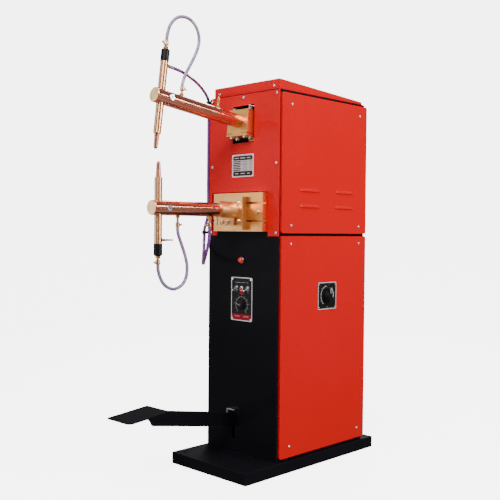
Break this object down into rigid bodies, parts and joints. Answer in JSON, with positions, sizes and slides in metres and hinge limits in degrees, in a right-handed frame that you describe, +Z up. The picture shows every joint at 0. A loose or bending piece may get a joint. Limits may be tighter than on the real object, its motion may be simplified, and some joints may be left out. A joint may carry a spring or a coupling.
{
  "type": "pedal-operated spot welder",
  "caption": "Floor-standing rocker-arm spot welder: red and black cabinet, water-cooled copper arms with electrode holders, hoses, foot pedal and a front control panel.",
  "frame": {"origin": "on the floor under the middle of the front face of the top cover, on the underside of the plinth", "axes": "+Z up; -Y along the arms towards the operator; +X to the side with the heat selector, on the operator's right when facing the cabinet; the arms lie in the plane X = 0"},
  "size_m": [0.3914, 1.0033, 1.5325],
  "materials": {
    "red_enamel": "gloss enamel",
    "black_enamel": "gloss enamel",
    "copper": "polished copper",
    "brass": "satin",
    "zinc_plate": "bright zinc plate",
    "steel": "dark ground steel",
    "label_metal": "satin anodised",
    "black_plastic": "gloss",
    "lamp_red": "clear gloss",
    "core_iron": "laminated, varnished",
    "winding": "varnished tape",
    "hose_pvc": "clear lilac tube"
  },
  "bodies": {
    "cabinet": {"base_plinth": "black_enamel", "cabinet_frame": "black_enamel", "top_cover": "red_enamel", "front_plate_upper": "red_enamel", "front_panel_lower": "black_enamel", "right_upper_cover": "red_enamel", "right_lower_cover": "red_enamel", "left_upper_cover": "red_enamel", "left_lower_cover": "red_enamel", "rear_cover": "red_enamel", "cover_screws": "zinc_plate", "rating_plate": "label_metal", "control_plate": "black_plastic", "lamp_lenses": "lamp_red", "control_bezels": "zinc_plate", "switchgear": "black_plastic", "selector_plate": "black_plastic", "tap_switch": "black_plastic", "transformer_core": "core_iron", "primary_coils": "winding", "secondary_bus": "copper", "flexible_shunt": "copper", "arm_platen": "copper", "arm_sleeve": "brass", "lower_mount_bolts": "zinc_plate", "hose_p_clips": "black_plastic", "hinge_shafts": "steel", "pedal_guard": "zinc_plate", "mains_gland": "black_plastic", "return_spring": "steel", "supply_hose_side": "hose_pvc", "supply_hose_loop": "hose_pvc"},
    "rocker": {"rocker_lever": "steel", "rocker_bushes": "brass", "arm_clamp_block": "brass", "arm_clamp_cap": "brass", "arm_clamp_bolts": "zinc_plate", "upper_arm": "copper", "upper_arm_fittings": "brass", "upper_loop_hose": "hose_pvc", "supply_hose_front": "hose_pvc"},
    "upper_electrode": {"upper_holder": "copper", "upper_cap": "black_plastic", "upper_tip": "copper", "upper_holder_fittings": "brass"},
    "lower_horn": {"lower_arm": "copper", "lower_arm_fittings": "brass", "lower_clamp_screw": "zinc_plate", "lower_loop_hose": "hose_pvc"},
    "lower_electrode": {"lower_holder": "copper", "lower_cap": "black_plastic", "lower_tip": "copper", "lower_holder_fittings": "brass"},
    "pedal": {"foot_pedal": "black_enamel"},
    "rod": {"push_rod": "steel", "pressure_spring": "steel"},
    "timer_dial": {"timer_knob": "black_plastic"},
    "heat_selector": {"selector_knob": "black_plastic"},
    "toggle_left": {"left_toggle": "zinc_plate"},
    "toggle_right": {"right_toggle": "zinc_plate"}
  },
  "joints": [
    {"name": "rocker_hinge", "type": "hinge", "parent": "cabinet", "child": "rocker", "pos_m": [0, 0.13, 1.255], "axis": [1, 0, 0], "range_deg": [0, 3.9], "stiffness_Nm_per_rad": 900, "springref_deg": -6.88, "deforming": ["flexible_shunt", "supply_hose_side"]},
    {"name": "pedal_hinge", "type": "hinge", "parent": "cabinet", "child": "pedal", "pos_m": [-0.038, 0.19, 0.12], "axis": [1, 0, 0], "range_deg": [0, 5.2]},
    {"name": "rod_slide", "type": "slide", "parent": "cabinet", "child": "rod", "axis": [0, 0, 1], "range_m": [0, 0.0182], "deforming": ["return_spring"]},
    {"name": "upper_holder_slide", "type": "slide", "parent": "rocker", "child": "upper_electrode", "axis": [0, 0.1219, 0.9925], "range_m": [0, 0.03], "deforming": ["upper_loop_hose", "supply_hose_front"]},
    {"name": "lower_arm_slide", "type": "slide", "parent": "cabinet", "child": "lower_horn", "axis": [0, -1, 0], "range_m": [0, 0.04], "deforming": ["supply_hose_loop"]},
    {"name": "lower_holder_slide", "type": "slide", "parent": "lower_horn", "child": "lower_electrode", "axis": [0, 0, -1], "range_m": [0, 0.03], "deforming": ["lower_loop_hose"]},
    {"name": "timer_dial_turn", "type": "hinge", "parent": "cabinet", "child": "timer_dial", "pos_m": [0, -0.0155, 0.57], "axis": [0, -1, 0], "range_deg": [-140, 140]},
    {"name": "heat_selector_turn", "type": "hinge", "parent": "cabinet", "child": "heat_selector", "pos_m": [0.18, 0.2475, 0.6], "axis": [1, 0, 0], "range_deg": [-120, 120]},
    {"name": "left_toggle_tilt", "type": "hinge", "parent": "cabinet", "child": "toggle_left", "pos_m": [-0.024, -0.017, 0.629], "axis": [-1, 0, 0], "range_deg": [0, 50]},
    {"name": "right_toggle_tilt", "type": "hinge", "parent": "cabinet", "child": "toggle_right", "pos_m": [0.031, -0.017, 0.629], "axis": [-1, 0, 0], "range_deg": [0, 50]}
  ],
  "couplings": [
    {"joint": "rod_slide", "follows": "rocker_hinge", "m_per_rad": 0.26},
    {"joint": "pedal_hinge", "follows": "rocker_hinge", "ratio": 1.3}
  ]
}
